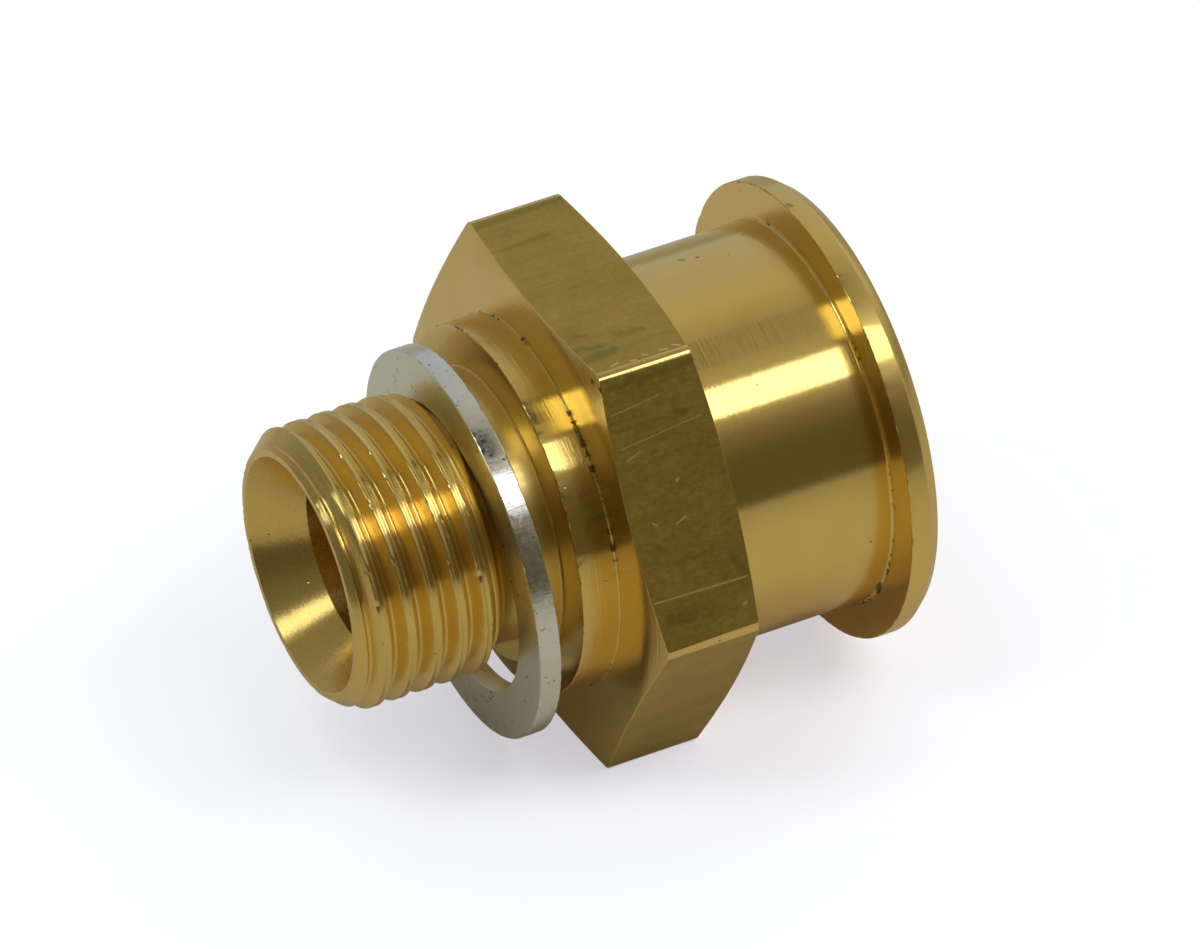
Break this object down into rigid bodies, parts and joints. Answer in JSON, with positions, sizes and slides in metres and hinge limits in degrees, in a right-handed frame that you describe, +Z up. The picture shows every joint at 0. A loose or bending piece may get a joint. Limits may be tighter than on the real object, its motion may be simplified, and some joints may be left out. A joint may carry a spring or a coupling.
{
  "type": "straight pipe adapter",
  "caption": "Straight brass pipe adapter with a male thread, a round collar, a hexagon, a plain barrel with an end flange, and a loose aluminium sealing washer.",
  "frame": {"origin": "on the ground under the middle of the fitting's length, which lies on one flat of its hexagon", "axes": "+X along the bore from the threaded end to the flange, +Z up"},
  "size_m": [0.0322, 0.031, 0.027],
  "materials": {
    "turned_brass": "bright turned, hexagon flats as drawn",
    "aluminium_sheet": "stamped, satin faces and bright turned rim"
  },
  "bodies": {
    "root": {"adapter_body": "turned_brass", "sealing_washer": "aluminium_sheet"}
  },
  "joints": []
}
